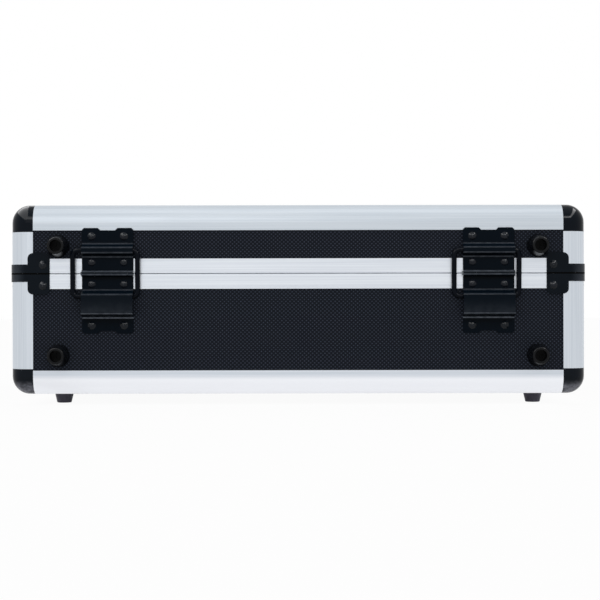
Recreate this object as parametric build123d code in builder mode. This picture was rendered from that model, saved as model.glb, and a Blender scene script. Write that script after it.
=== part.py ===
# Aluminium-edged carrying case for a podcast mixer, closed, seen from its front along +Y.
# Millimetres. +X to the right, +Y to the hinged back, +Z up.
# The origin is on the surface that the case stands on, at the middle of its outline.

from build123d import *
import math
import os

os.makedirs("parts", exist_ok=True)

# Outline of the closed case, over the outer faces of the edge extrusions
case_width = 450.0
case_depth = 360.0
base_height = 94.4
lid_height = 54.0
seam_gap = 0.4

# Panels and the extrusions that hold them
panel_thickness = 7.0
panel_recess = 1.2
lip_thickness = 1.2
edge_radius = 14.0
slot_start = 14.0
panel_play = 0.3
bottom_leg = 18.8
top_leg = 20.2
post_leg = 18.1
cap_overhang = 1.2
plug_length = 8.0
plug_clearance = 0.15

# Rims along the seam, with a tongue on the base and a groove in the lid
base_rim_height = 11.9
lid_rim_height = 11.7
rim_web = 5.2
rim_seam_round = 0.5
rim_line_inset = 1.7
rim_line_width = 1.2
rim_line_depth = 0.3
tongue_inset = 4.2
tongue_thickness = 1.6
tongue_height = 3.0
tongue_clearance = 0.3
groove_relief = 0.6

# Black steel brackets that wrap the case's upright corners at the seam
bracket_thickness = 0.8
bracket_seam_gap = 0.1
bracket_reach = 31.2
bracket_plate_inset = 14.0
base_bracket_arm_height = 6.3
lid_bracket_arm_height = 7.2
base_bracket_height = 16.1
lid_bracket_height = 16.1
bracket_rivet_inset = 25.9
base_bracket_rivet_drop = 9.4
lid_bracket_rivet_rise = 6.9
bracket_corner_radius = 4.2

# Rivets
rivet_head_radius = 3.2
rivet_head_height = 1.5
rivet_shank_radius = 1.6
rivet_depth = 6.0
rivet_hole_clearance = 0.05

# Stay hinges on the back
hinge_inset = 76.5
leaf_width = 40.0
leaf_thickness = 1.2
leaf_bend_radius = 1.5
leaf_corner_radius = 1.5
leaf_seam_setback = 0.4
knuckle_radius = 2.6
knuckle_standoff = 0.3
knuckle_plus_x_end = 9.6
knuckle_minus_x_end = 15.9
knuckle_play = 0.2
knuckle_clearance = 0.3
hinge_pin_radius = 1.4
hinge_pin_clearance = 0.05
hinge_pin_overhang = 0.8
leaf_tab_inset = 14.2
leaf_tab_height = 1.9
leaf_rivet_x = 12.6
leaf_lap = 1.8
lid_arch_crest = 4.2
lid_arch_side = 3.0
lid_leaf_lower_rivet_rise = 8.9
lid_leaf_upper_rivet_inset = 6.7
base_arch_riser = 3.4
base_arch_shoulder_rise = 1.6
base_arch_end_step = 3.2
base_arch_shoulder_depth = 8.0
base_arch_crest_depth = 9.8
base_flange_height = 12.1
base_leaf_upper_rivet_drop = 8.2
base_leaf_lower_rivet_inset = 6.3

# Wire stays, one ring through the two arches of each hinge
stay_wire_radius = 1.95
stay_width = 54.4
stay_bend_radius = 4.5
stay_length = 36.0
stay_tilt = 2.5
stay_travel = 13.2
stay_shift = 1.8
stay_bar_rise = 18.2
stay_bar_standoff = 3.6
stay_clearance = 0.35

# Feet
rear_foot_inset = 37.5
rear_foot_radius = 9.0
rear_foot_face_radius = 6.4
rear_foot_socket_radius = 4.6
rear_foot_height = 15.0
lid_foot_rise = 21.5
base_foot_rise = 30.4
bottom_foot_side_inset = 36.5
bottom_foot_inset = 43.0
bottom_foot_radius = 8.0
bottom_foot_face_radius = 5.7
bottom_foot_socket_radius = 3.6
bottom_foot_drop = 8.5
foot_floor = 4.0
foot_edge_round = 0.8
foot_screw_head_radius = 3.3
foot_screw_head_height = 2.2
screw_cross_length = 4.0
screw_cross_width = 0.9
screw_cross_depth = 1.3
foot_screw_radius = 2.0
foot_screw_depth = 6.0
foot_screw_clearance = 0.05

# Draw latches on the front, drawn in their latched place and then turned to rest
latch_handle_gap = 18.9
latch_plate_width = 30.0
latch_plate_top = 12.8
latch_plate_bottom = 52.0
latch_plate_thickness = 1.5
latch_rivet_x = 11.5
latch_upper_rivet_drop = 16.6
latch_lower_rivet_drop = 48.0
latch_pivot_out = 6.0
latch_pivot_drop = 22.0
latch_pin_radius = 1.5
latch_pin_clearance = 0.05
latch_ear_inner = 5.0
latch_ear_thickness = 1.2
latch_ear_radius = 3.2
lever_side_gap = 0.8
lever_thickness = 1.2
lever_cover_out = 12.5
lever_cover_rise = 1.8
lever_length = 26.0
lever_tab_flare = 2.4
lever_tab_length = 5.0
lever_pivot_radius = 3.4
lever_rest_angle = 30.0
hook_pin_out = 3.0
hook_pin_drop = 6.0
hook_pin_radius = 1.25
hook_side_gap = 0.4
hook_thickness = 1.2
hook_plate_thickness = 1.5
hook_eye_radius = 2.4
hook_bridge_height = 14.0
hook_claw_width = 10.0
hook_claw_clearance = 0.3
hook_tilt_share = 0.2
keeper_width = 26.0
keeper_thickness = 1.5
keeper_bottom = 0.8
keeper_top = 11.8
keeper_ledge_width = 11.0
keeper_ledge_top = 7.0
keeper_ledge_reach = 5.5
keeper_rivet_x = 9.4
keeper_rivet_rise = 6.3

# Folding carrying handle on the front
handle_pivot_out = 13.0
handle_pivot_drop = 37.0
handle_arm_length = 36.0
handle_bar_radius = 3.5
handle_bend_radius = 8.0
handle_arm_x = 54.0
handle_arm_play = 0.6
handle_bar_overhang = 3.0
handle_bar_clearance = 0.05
grip_radius = 11.0
grip_end_radius = 9.4
grip_end_gap = 1.0
grip_end_round = 2.0
handle_plate_width = 26.0
handle_plate_height = 34.0
handle_plate_thickness = 2.0
handle_ear_thickness = 3.0
handle_ear_radius = 6.8
handle_ear_spread = 4.0
handle_rivet_rise = 12.6

# Foam lining
foam_clearance = 0.3
base_pad_thickness = 15.0
lid_pad_thickness = 18.0
foam_seam_drop = 2.0
mixer_pocket_width = 352.0
mixer_pocket_depth = 277.0
mixer_pocket_radius = 10.0

# Heights and faces worked out from the sizes above
z_bottom = bottom_foot_drop
z_seam = z_bottom + base_height
z_top = z_seam + lid_height
base_top = z_seam - seam_gap / 2
lid_bottom = z_seam + seam_gap / 2
frame_depth = panel_recess + panel_thickness + lip_thickness
rest_turn = math.radians(lever_rest_angle)
lever_reach = (latch_pivot_out + (lever_cover_out - latch_pivot_out + lever_tab_flare) * math.cos(rest_turn)
               + (lever_length + lever_tab_length) * math.sin(rest_turn))
front_reach = max(lever_reach, handle_pivot_out + grip_radius)
rear_reach = rear_foot_height - panel_recess
y_middle = (front_reach - rear_reach) / 2
x_side = case_width / 2
y_rear = y_middle + case_depth / 2
y_front = y_middle - case_depth / 2
hinge_x = x_side - hinge_inset
rear_foot_x = x_side - rear_foot_inset
bottom_foot_x = x_side - bottom_foot_side_inset
foot_y = case_depth / 2 - bottom_foot_inset
handle_x = handle_arm_x + handle_bend_radius + handle_arm_play + handle_ear_thickness / 2 + handle_ear_spread
latch_x = handle_x + (handle_plate_width + latch_plate_width) / 2 + latch_handle_gap
lid_leaf_top = lid_height - top_leg + leaf_lap
stay_bar_drop = stay_length * math.cos(math.radians(stay_tilt)) - stay_bar_rise
base_arch_bottom = stay_bar_drop + stay_travel + stay_wire_radius + stay_clearance + leaf_thickness
base_leaf_bottom = base_arch_bottom + base_flange_height
panel_seat = -panel_recess
rivet_hole_radius = rivet_shank_radius + rivet_hole_clearance
mid_x = Plane.YZ
mid_y = Plane(origin=(0, y_middle, 0), x_dir=(1, 0, 0), z_dir=(0, 1, 0))


def wall_face(side, along=0.0, z=0.0):
    """Plane on the outer face of one side of the case, its z axis pointing outwards and its y axis up."""
    outward = {"front": (0, -1), "rear": (0, 1), "left": (-1, 0), "right": (1, 0)}[side]
    if outward[0] == 0:
        origin = (along, y_middle + outward[1] * case_depth / 2, z)
    else:
        origin = (outward[0] * x_side, y_middle + along, z)
    return Plane(origin=origin, x_dir=(-outward[1], outward[0], 0), z_dir=(outward[0], outward[1], 0))


def side_view(x, y, z, outward, turn=0.0):
    """Plane across X in which local x points out of the case (-1 front, +1 rear) and local y points up."""
    t = math.radians(turn)
    return Plane(origin=(x, y, z), x_dir=(0, outward * math.cos(t), math.sin(t)), z_dir=(outward, 0, 0))


def save(piece, name):
    """Label a finished piece and write its STEP file."""
    piece.part.label = name
    export_step(piece.part, f"parts/{name}.step")


def rivet_rows(side, half):
    """Rivets of one wall of the base or the lid: place along it, height, and seat above its outer face."""
    sign = -1 if half == "base" else 1
    reach = (case_width if side in ("front", "rear") else case_depth) / 2 - bracket_rivet_inset
    rise = -base_bracket_rivet_drop if half == "base" else lid_bracket_rivet_rise
    spots = [(along, z_seam + rise, bracket_thickness) for along in (-reach, reach)]
    if side == "rear":
        heights = {"base": ((-base_leaf_upper_rivet_drop, leaf_thickness),
                            (base_leaf_lower_rivet_inset - base_leaf_bottom, 0.0)),
                   "lid": ((lid_leaf_lower_rivet_rise, leaf_thickness),
                           (lid_leaf_top - lid_leaf_upper_rivet_inset, leaf_thickness))}
        spots += [(x + dx, z_seam + dz, seat) for x in (-hinge_x, hinge_x)
                  for dx in (-leaf_rivet_x, leaf_rivet_x) for dz, seat in heights[half]]
    if side == "front" and sign > 0:
        spots += [(x + dx, z_seam + keeper_rivet_rise, keeper_thickness) for x in (-latch_x, latch_x)
                  for dx in (-keeper_rivet_x, keeper_rivet_x)]
    if side == "front" and sign < 0:
        spots += [(x + dx, z_seam - drop, latch_plate_thickness + panel_seat) for x in (-latch_x, latch_x)
                  for dx in (-latch_rivet_x, latch_rivet_x)
                  for drop in (latch_upper_rivet_drop, latch_lower_rivet_drop)]
        spots += [(x, z_seam - handle_pivot_drop + dz, handle_plate_thickness + panel_seat)
                  for x in (-handle_x, handle_x) for dz in (-handle_rivet_rise, handle_rivet_rise)]
    return spots


def cut_rivet_holes(side, half):
    """Take the shank holes of one wall's rivets out of the piece being built."""
    for along, z, seat in rivet_rows(side, half):
        with BuildSketch(wall_face(side, along, z).offset(seat)) as hole:
            Circle(rivet_hole_radius)
        extrude(hole.sketch, amount=-(seat + rivet_depth + rivet_hole_clearance), mode=Mode.SUBTRACT)


def add_rivet(face, seat):
    """Domed head on its seat and a plain shank that ends inside the wall."""
    across = Plane(origin=face.origin, x_dir=face.x_dir, z_dir=-face.y_dir)
    dome_radius = (rivet_head_radius ** 2 + rivet_head_height ** 2) / (2 * rivet_head_height)
    half_turn = math.asin(rivet_head_radius / dome_radius) / 2
    dome_middle = (dome_radius * math.sin(half_turn),
                   seat + rivet_head_height - dome_radius * (1 - math.cos(half_turn)))
    with BuildSketch(across) as profile:
        with BuildLine():
            Line((0, -rivet_depth), (rivet_shank_radius, -rivet_depth))
            Line((rivet_shank_radius, -rivet_depth), (rivet_shank_radius, seat))
            Line((rivet_shank_radius, seat), (rivet_head_radius, seat))
            ThreePointArc((rivet_head_radius, seat), dome_middle, (0, seat + rivet_head_height))
            Line((0, seat + rivet_head_height), (0, -rivet_depth))
        make_face()
    revolve(profile.sketch, axis=Axis(face.origin, face.z_dir))


def corner_hollow(inset=0.0):
    """Sketch of the hollow behind an extrusion's round corner, drawn in from both outer faces."""
    wall = lip_thickness + inset
    across = panel_recess + panel_thickness - inset
    along = slot_start - lip_thickness - inset
    with Locations((0, 0)):
        Rectangle(across, along, align=Align.MIN)
        Rectangle(along, across, align=Align.MIN)
    with Locations((edge_radius, edge_radius)):
        Circle(edge_radius - wall, mode=Mode.INTERSECT)


def angle_bar(plane, length, leg_x, leg_y):
    """Rounded angle extrusion with a slot for a panel in each leg and a hollow behind the corner."""
    with BuildPart() as bar:
        with BuildSketch(plane) as section:
            with BuildLine():
                Polyline((0, 0), (leg_x, 0), (leg_x, frame_depth), (frame_depth, frame_depth),
                         (frame_depth, leg_y), (0, leg_y), close=True)
            make_face()
            fillet(section.vertices().sort_by_distance((0, 0))[0], edge_radius)
            with Locations((slot_start, panel_recess)):
                Rectangle(leg_x, panel_thickness, align=Align.MIN, mode=Mode.SUBTRACT)
            with Locations((panel_recess, slot_start)):
                Rectangle(panel_thickness, leg_y, align=Align.MIN, mode=Mode.SUBTRACT)
        extrude(amount=length / 2, both=True)
        with BuildSketch(plane):
            corner_hollow()
        extrude(amount=length / 2, both=True, mode=Mode.SUBTRACT)
    return bar


def level_plane(side, z, up):
    """Section plane of a level bar: local x points into the case, local y up (1) or down (-1)."""
    face = wall_face(side, 0, z)
    inward = -face.z_dir
    return Plane(origin=face.origin, x_dir=inward, z_dir=inward.cross(Vector(0, 0, up)))


def side_span(side):
    """Outer length of the case along one side."""
    return case_width if side in ("front", "rear") else case_depth


# Edge extrusions round the bottom and the top
for side in ("front", "rear", "left", "right"):
    length = side_span(side) - 2 * post_leg
    bottom_edge = angle_bar(level_plane(side, z_bottom, 1), length, post_leg, bottom_leg)
    save(bottom_edge, f"bottom_edge_{side}")
    top_edge = angle_bar(level_plane(side, z_top, -1), length, post_leg, top_leg)
    save(top_edge, f"top_edge_{side}")


def corner_posts(z_low, z_high, half):
    """Four upright extrusions between the corner caps and the seam."""
    plane = Plane(origin=(x_side, y_rear, (z_low + z_high) / 2), x_dir=(-1, 0, 0), z_dir=(0, 0, 1))
    post = angle_bar(plane, z_high - z_low, post_leg, post_leg)
    with BuildPart() as posts:
        add(post.part)
        mirror(about=mid_x)
        mirror(about=mid_y)
    save(posts, f"{half}_posts")


bottom_cap_height = bottom_leg + cap_overhang
top_cap_height = top_leg + cap_overhang
corner_posts(z_bottom + bottom_cap_height, base_top, "base")
corner_posts(lid_bottom, z_top - top_cap_height, "lid")


def corner_caps(z, up, height, half):
    """Four moulded caps: a rounded corner block, flaps over the panels and a plug into each extrusion."""
    with BuildPart() as caps:
        with BuildSketch(Plane.XY):
            Rectangle(post_leg, post_leg, align=Align.MIN)
        extrude(amount=height)
        outer_edges = caps.edges().filter_by(lambda e: min((e @ 0).length, (e @ 1).length) < 0.01)
        fillet(outer_edges, edge_radius)
        for low in ((panel_recess, slot_start, slot_start), (slot_start, panel_recess, slot_start),
                    (slot_start, slot_start, panel_recess), (frame_depth, frame_depth, frame_depth)):
            with Locations(low):
                Box(post_leg, post_leg, height, align=Align.MIN, mode=Mode.SUBTRACT)
        plug_planes = (Plane(origin=(0, 0, height), x_dir=(1, 0, 0), z_dir=(0, 0, 1)),
                       Plane(origin=(post_leg, 0, 0), x_dir=(0, 1, 0), z_dir=(1, 0, 0)),
                       Plane(origin=(0, post_leg, 0), x_dir=(0, 0, 1), z_dir=(0, 1, 0)))
        for plug_plane in plug_planes:
            with BuildSketch(plug_plane):
                corner_hollow(plug_clearance)
            extrude(amount=plug_length)
    with BuildPart() as group:
        place = Plane(origin=(x_side, y_rear, z), x_dir=(-1, 0, 0), z_dir=(0, 0, 1))
        block = caps.part if up > 0 else mirror(caps.part, about=Plane.XY, mode=Mode.PRIVATE)
        add(place.location * block)
        mirror(about=mid_x)
        mirror(about=mid_y)
    save(group, f"{half}_corner_caps")


corner_caps(z_bottom, 1, bottom_cap_height, "base")
corner_caps(z_top, -1, top_cap_height, "lid")


# Laminated plywood panels, held by their margins in the slots of the extrusions
panel_margin = slot_start + panel_play
base_panel_height = base_height - seam_gap / 2 - rim_web - panel_play - panel_margin
lid_panel_height = lid_height - seam_gap / 2 - rim_web - panel_play - panel_margin


def wall_panel(side, half):
    """Upright panel of one wall, with its rivet and screw holes."""
    height = base_panel_height if half == "base" else lid_panel_height
    z_low = z_bottom + panel_margin if half == "base" else z_top - panel_margin - lid_panel_height
    with BuildPart() as panel:
        with BuildSketch(wall_face(side, 0, z_low + height / 2).offset(panel_seat)):
            Rectangle(side_span(side) - 2 * panel_margin, height)
        extrude(amount=-panel_thickness)
        cut_rivet_holes(side, half)
        if side == "rear":
            foot_z = z_bottom + base_foot_rise if half == "base" else z_seam + lid_foot_rise
            for x in (-rear_foot_x, rear_foot_x):
                with BuildSketch(wall_face("rear", x, foot_z).offset(panel_seat)):
                    Circle(foot_screw_radius + foot_screw_clearance)
                extrude(amount=-(foot_screw_depth + foot_screw_clearance), mode=Mode.SUBTRACT)
    save(panel, f"{half}_panel_{side}")


for side in ("front", "rear", "left", "right"):
    wall_panel(side, "base")
    wall_panel(side, "lid")

with BuildPart() as floor_panel:
    with BuildSketch(Plane(origin=(0, y_middle, z_bottom + panel_recess))):
        Rectangle(case_width - 2 * panel_margin, case_depth - 2 * panel_margin)
    extrude(amount=panel_thickness)
    with BuildSketch(Plane(origin=(0, y_middle, z_bottom + panel_recess))):
        with GridLocations(2 * bottom_foot_x, 2 * foot_y, 2, 2):
            Circle(foot_screw_radius + foot_screw_clearance)
    extrude(amount=foot_screw_depth + foot_screw_clearance, mode=Mode.SUBTRACT)
save(floor_panel, "floor_panel")

with BuildPart() as top_panel:
    with BuildSketch(Plane(origin=(0, y_middle, z_top - panel_recess))):
        Rectangle(case_width - 2 * panel_margin, case_depth - 2 * panel_margin)
    extrude(amount=-panel_thickness)
save(top_panel, "top_panel")


def rim_bar(side, half):
    """Channel along the seam: it caps the panel, and carries the base's tongue or the lid's groove."""
    up = -1 if half == "base" else 1
    height = base_rim_height if half == "base" else lid_rim_height
    plane = level_plane(side, base_top if half == "base" else lid_bottom, up)
    length = side_span(side) - 2 * post_leg
    with BuildPart() as rim:
        with BuildSketch(plane) as section:
            Rectangle(frame_depth, height - seam_gap / 2, align=Align.MIN)
            fillet(section.vertices().sort_by_distance((0, 0))[0], rim_seam_round)
            with Locations((0, height - seam_gap / 2 - rim_line_inset)):
                Rectangle(2 * rim_line_depth, rim_line_width, mode=Mode.SUBTRACT)
            with Locations((panel_recess, rim_web)):
                Rectangle(panel_thickness, height, align=Align.MIN, mode=Mode.SUBTRACT)
            if half == "base":
                with Locations((tongue_inset, -tongue_height)):
                    Rectangle(tongue_thickness, tongue_height, align=Align.MIN)
            else:
                with Locations((tongue_inset - tongue_clearance, 0)):
                    Rectangle(tongue_thickness + 2 * tongue_clearance + groove_relief, tongue_height,
                              align=Align.MIN, mode=Mode.SUBTRACT)
        extrude(amount=length / 2, both=True)
        cut_rivet_holes(side, half)
    return rim


for half in ("base", "lid"):
    save(rim_bar("front", half), f"{half}_rim_front")
    save(rim_bar("rear", half), f"{half}_rim_rear")
    with BuildPart() as rim_sides:
        add(rim_bar("right", half).part)
        mirror(about=mid_x)
    save(rim_sides, f"{half}_rim_sides")


def seam_brackets(half):
    """Four steel straps round the upright corners, each with a rounded plate on both walls."""
    up = -1 if half == "base" else 1
    z = z_seam + up * bracket_seam_gap / 2
    height = (base_bracket_height if half == "base" else lid_bracket_height) - bracket_seam_gap / 2
    arm_height = base_bracket_arm_height if half == "base" else lid_bracket_arm_height
    flat_run = post_leg - edge_radius
    with BuildPart() as brackets:
        with BuildSketch(Plane(origin=(x_side - edge_radius, y_rear - edge_radius, z))):
            Circle(edge_radius + bracket_thickness)
            Circle(edge_radius, mode=Mode.SUBTRACT)
            Rectangle(2 * edge_radius, 2 * edge_radius, align=Align.MIN, mode=Mode.INTERSECT)
            with Locations((edge_radius + bracket_thickness / 2, -flat_run / 2)):
                Rectangle(bracket_thickness, flat_run)
            with Locations((-flat_run / 2, edge_radius + bracket_thickness / 2)):
                Rectangle(flat_run, bracket_thickness)
        extrude(amount=up * arm_height)
        for side, plate_start in (("rear", bracket_plate_inset), ("right", post_leg)):
            plate_middle = (side_span(side) - plate_start - bracket_reach) / 2
            with BuildSketch(wall_face(side, plate_middle, z)) as plate:
                with Locations((0, up * height / 2)):
                    Rectangle(bracket_reach - plate_start, height)
                far_corners = plate.vertices().filter_by(lambda v: abs(v.Y) > height / 2)
                fillet(far_corners, bracket_corner_radius)
            extrude(amount=bracket_thickness)
        cut_rivet_holes("rear", half)
        cut_rivet_holes("right", half)
        mirror(about=mid_x)
        mirror(about=mid_y)
    save(brackets, f"{half}_seam_brackets")


seam_brackets("base")
seam_brackets("lid")

for half in ("base", "lid"):
    with BuildPart() as rivets:
        for side in ("front", "rear", "left", "right"):
            for along, z, seat in rivet_rows(side, half):
                add_rivet(wall_face(side, along, z), seat)
    save(rivets, f"{half}_rivets")


# Stay hinges
axis_out = knuckle_radius + knuckle_standoff
half_leaf = leaf_width / 2


def leaf_strip(x, outline):
    """Pressed strip of the leaf's thickness: an outer line of bends, carried across the leaf's width."""
    wall_side = Side.LEFT if outline[-1][1] > outline[0][1] else Side.RIGHT
    with BuildSketch(side_view(x, y_rear, z_seam, 1)) as strip:
        with BuildLine():
            FilletPolyline(*outline, radius=leaf_bend_radius)
            offset(amount=leaf_thickness, side=wall_side)
        make_face()
    extrude(strip.sketch, amount=half_leaf, both=True)


def cut_leaf_end(x, reach, up):
    """Two tabs at a leaf's far end: the edge between them is set back, and their corners are cut."""
    gap = leaf_width / 2 - leaf_tab_inset
    step = leaf_tab_height
    with BuildSketch(wall_face("rear", x, z_seam)) as cut:
        with BuildLine():
            Polyline((-gap - 2 * step, up * (reach + step)), (-gap, up * (reach - step)),
                     (gap, up * (reach - step)), (gap + 2 * step, up * (reach + step)), close=True)
        make_face()
        for sign in (-1, 1):
            with BuildLine():
                Polyline((sign * half_leaf, up * (reach - leaf_corner_radius)),
                         (sign * half_leaf, up * reach),
                         (sign * (half_leaf - leaf_corner_radius), up * reach), close=True)
            make_face()
    extrude(cut.sketch, amount=leaf_thickness + panel_recess, both=True, mode=Mode.SUBTRACT)


def add_knuckle(x, x_low, x_high):
    """Rolled knuckle between two places across the leaf."""
    with BuildSketch(side_view(x + x_low, y_rear, z_seam, 1)) as roll:
        with Locations((axis_out, 0)):
            Circle(knuckle_radius)
    extrude(roll.sketch, amount=x_high - x_low)


def cut_seam_notch(x, x_low, x_high):
    """Room in a leaf's edge for the other leaf's knuckle, which hides it from behind the case."""
    half_height = math.sqrt((knuckle_radius + knuckle_clearance) ** 2 - (axis_out - leaf_thickness) ** 2)
    with BuildSketch(side_view(x + x_low, y_rear, z_seam, 1)) as notch:
        Rectangle(2 * axis_out, 2 * half_height)
    extrude(notch.sketch, amount=x_high - x_low, mode=Mode.SUBTRACT)


def cut_pin_bore(x):
    """Bore for the hinge pin, through the whole width of the hinge."""
    with BuildSketch(side_view(x, y_rear, z_seam, 1)) as bore:
        with Locations((axis_out, 0)):
            Circle(hinge_pin_radius + hinge_pin_clearance)
    extrude(bore.sketch, amount=leaf_width, both=True, mode=Mode.SUBTRACT)


base_arch_shoulder = stay_bar_drop - base_arch_shoulder_rise
lid_arch_depth = stay_bar_standoff + stay_wire_radius + stay_clearance + leaf_thickness
half_crest = lid_arch_crest / 2
base_leaf_outline = ((leaf_thickness, -leaf_seam_setback),
                     (leaf_thickness, base_arch_riser - base_arch_shoulder),
                     (base_arch_shoulder_depth, -base_arch_shoulder),
                     (base_arch_crest_depth, base_arch_end_step - base_arch_bottom),
                     (0, -base_arch_bottom), (0, -base_leaf_bottom))
lid_leaf_outline = ((leaf_thickness, leaf_seam_setback),
                    (leaf_thickness, stay_bar_rise - half_crest - lid_arch_side),
                    (lid_arch_depth, stay_bar_rise - half_crest),
                    (lid_arch_depth, stay_bar_rise + half_crest),
                    (leaf_thickness, stay_bar_rise + half_crest + lid_arch_side),
                    (leaf_thickness, lid_leaf_top))
middle_knuckle = (-knuckle_minus_x_end, knuckle_plus_x_end)
outer_knuckles = ((-half_leaf, -knuckle_minus_x_end - knuckle_play),
                  (knuckle_plus_x_end + knuckle_play, half_leaf))

with BuildPart() as hinge_base_leaves:
    for x in (-hinge_x, hinge_x):
        leaf_strip(x, base_leaf_outline)
        cut_leaf_end(x, base_leaf_bottom, -1)
        cut_seam_notch(x, -half_leaf, middle_knuckle[0])
        cut_seam_notch(x, middle_knuckle[1], half_leaf)
        add_knuckle(x, *middle_knuckle)
        cut_pin_bore(x)
    cut_rivet_holes("rear", "base")
save(hinge_base_leaves, "hinge_base_leaves")

for name, x in (("left", -hinge_x), ("right", hinge_x)):
    with BuildPart() as hinge_lid_leaf:
        leaf_strip(x, lid_leaf_outline)
        cut_leaf_end(x, lid_leaf_top, 1)
        cut_seam_notch(x, middle_knuckle[0] - knuckle_play, middle_knuckle[1] + knuckle_play)
        for ends in outer_knuckles:
            add_knuckle(x, *ends)
        cut_pin_bore(x)
        cut_rivet_holes("rear", "lid")
    save(hinge_lid_leaf, f"hinge_lid_leaf_{name}")

with BuildPart() as hinge_pins:
    for x in (-hinge_x, hinge_x):
        with BuildSketch(side_view(x - half_leaf, y_rear, z_seam, 1)) as pin:
            with Locations((axis_out, 0)):
                Circle(hinge_pin_radius)
        extrude(amount=leaf_width + hinge_pin_overhang)
save(hinge_pins, "hinge_pins")


# Wire stays: each is one closed ring, tilted a little so that it passes through both arches
def wire_stay(x):
    """Closed ring of round wire in a plane through both of its bars."""
    half_width = stay_width / 2 - stay_wire_radius
    tilt = math.radians(stay_tilt)
    ring_plane = Plane(origin=(x + stay_shift, y_rear + stay_bar_standoff, z_seam + stay_bar_rise),
                       x_dir=(1, 0, 0), z_dir=(0, -math.cos(tilt), math.sin(tilt)))
    with BuildPart() as stay:
        with BuildLine(ring_plane) as loop:
            FilletPolyline((-half_width, 0), (half_width, 0), (half_width, -stay_length),
                           (-half_width, -stay_length), radius=stay_bend_radius, close=True)
        ring = loop.wires()[0]
        with BuildSketch(Plane(origin=ring @ 0, z_dir=ring % 0)):
            Circle(stay_wire_radius)
        sweep(path=ring)
    return stay


save(wire_stay(-hinge_x), "stay_left")
save(wire_stay(hinge_x), "stay_right")


# Rubber feet and their screws
def add_foot(face, radius, face_radius, socket_radius, height):
    """Tapered rubber foot on a panel, with a socket that holds the screw's head."""
    with BuildSketch(Plane(origin=face.origin, x_dir=face.x_dir, z_dir=-face.y_dir)) as profile:
        with BuildLine():
            Polyline((foot_screw_radius + foot_screw_clearance, 0), (radius, 0), (face_radius, height),
                     (socket_radius, height), (socket_radius, foot_floor),
                     (foot_screw_radius + foot_screw_clearance, foot_floor), close=True)
        make_face()
        rim = profile.vertices().filter_by(lambda v: v.Y > height - 0.01)
        fillet(rim.sort_by(Axis.X)[-1], foot_edge_round)
    revolve(profile.sketch, axis=Axis(face.origin, face.z_dir))


def add_foot_screw(face):
    """Screw in a foot: a round head with a cross recess on the socket's floor, and a shank into the panel."""
    with BuildSketch(face.offset(foot_floor)) as head:
        Circle(foot_screw_head_radius)
    extrude(head.sketch, amount=foot_screw_head_height)
    with BuildSketch(face.offset(foot_floor + foot_screw_head_height)) as cross:
        Rectangle(screw_cross_length, screw_cross_width)
        Rectangle(screw_cross_width, screw_cross_length)
    extrude(cross.sketch, amount=-screw_cross_depth, mode=Mode.SUBTRACT)
    with BuildSketch(face.offset(foot_floor)) as shank:
        Circle(foot_screw_radius)
    extrude(shank.sketch, amount=-(foot_floor + foot_screw_depth))


def rear_foot_faces(z):
    """Places of the two rear feet at one height, on the back panel."""
    return [wall_face("rear", x, z).offset(panel_seat) for x in (-rear_foot_x, rear_foot_x)]


foot_places = [(x, y_middle + y) for x in (-bottom_foot_x, bottom_foot_x) for y in (-foot_y, foot_y)]
bottom_foot_faces = [Plane(origin=(x, y, z_bottom + panel_recess), x_dir=(1, 0, 0), z_dir=(0, 0, -1))
                     for x, y in foot_places]
base_foot_faces = rear_foot_faces(z_bottom + base_foot_rise)
lid_foot_faces = rear_foot_faces(z_seam + lid_foot_rise)

for name, faces in (("base_rear_feet", base_foot_faces), ("lid_rear_feet", lid_foot_faces)):
    with BuildPart() as rear_feet:
        for face in faces:
            add_foot(face, rear_foot_radius, rear_foot_face_radius, rear_foot_socket_radius, rear_foot_height)
    save(rear_feet, name)

with BuildPart() as bottom_feet:
    for face in bottom_foot_faces:
        add_foot(face, bottom_foot_radius, bottom_foot_face_radius, bottom_foot_socket_radius,
                 bottom_foot_drop + panel_recess)
save(bottom_feet, "bottom_feet")

for name, faces in (("base_foot_screws", bottom_foot_faces + base_foot_faces),
                    ("lid_foot_screws", lid_foot_faces)):
    with BuildPart() as foot_screws:
        for face in faces:
            add_foot_screw(face)
    save(foot_screws, name)


# Draw latches
lever_half = latch_ear_inner + latch_ear_thickness + lever_side_gap + lever_thickness
hook_inner = lever_half + hook_side_gap
hook_half = hook_inner + hook_thickness
latch_pivot_z = z_seam - latch_pivot_drop
hook_length = latch_pivot_drop + hook_pin_drop + keeper_ledge_top + hook_claw_clearance
hook_pin_rest = (hook_pin_out * math.cos(rest_turn) + hook_pin_drop * math.sin(rest_turn),
                 hook_pin_out * math.sin(rest_turn) - hook_pin_drop * math.cos(rest_turn))


def pivot_view(x):
    """Side view of a latch with its origin on the lever's pivot."""
    return side_view(x, y_front - latch_pivot_out, latch_pivot_z, -1)


def lever_view(x):
    """Side view that turns with the lever at rest."""
    return side_view(x, y_front - latch_pivot_out, latch_pivot_z, -1, lever_rest_angle)


def hook_view(x):
    """Side view that turns with the hook at rest, its origin on the hook's pin."""
    return side_view(x, y_front - latch_pivot_out - hook_pin_rest[0], latch_pivot_z + hook_pin_rest[1], -1,
                     -hook_tilt_share * lever_rest_angle)


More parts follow.
